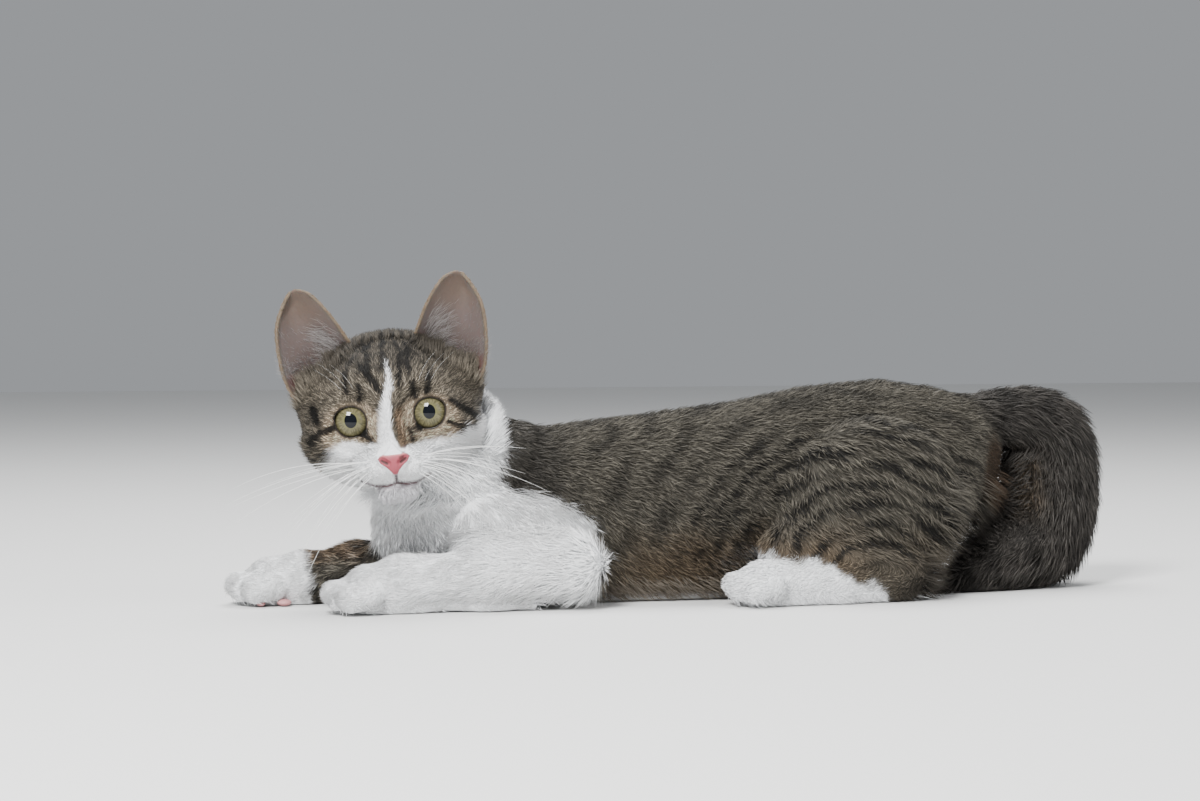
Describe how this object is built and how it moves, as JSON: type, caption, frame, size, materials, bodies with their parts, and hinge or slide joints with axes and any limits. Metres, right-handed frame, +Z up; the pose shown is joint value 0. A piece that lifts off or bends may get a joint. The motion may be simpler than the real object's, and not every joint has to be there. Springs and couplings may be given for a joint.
{
  "type": "domestic cat",
  "caption": "Life-size still kitten lying on its belly with forelegs out in front, head up and turned to its left, and tail hooked round behind.",
  "frame": {"origin": "On the floor under the middle of the belly, on the flat that the kitten rests on.", "axes": "+Z up, -X toward the head end, -Y toward the cat's left side, +X toward the rump."},
  "size_m": [0.4236, 0.1352, 0.1499],
  "materials": {
    "head_coat": "short tabby fur with a white blaze and muzzle",
    "tabby_coat": "grey-brown ticked fur with dark stripes",
    "white_coat": "soft white fur",
    "tail_coat": "long dark grey-brown fur",
    "ear": "thin pinkish grey skin with fine hair",
    "eye": "wet and glossy, olive green iris"
  },
  "bodies": {
    "root": {"head": "head_coat", "left_ear": "ear", "right_ear": "ear", "left_eye": "eye", "right_eye": "eye", "neck": "white_coat", "torso": "tabby_coat", "left_upper_arm": "white_coat", "left_forearm": "white_coat", "left_forepaw": "white_coat", "right_upper_arm": "tabby_coat", "right_forearm": "tabby_coat", "right_forepaw": "white_coat", "left_thigh": "tabby_coat", "left_hind_foot": "white_coat", "right_thigh": "tabby_coat", "right_hind_foot": "white_coat", "tail_base": "tail_coat", "tail_middle": "tail_coat", "tail_tip": "tail_coat"}
  },
  "joints": []
}
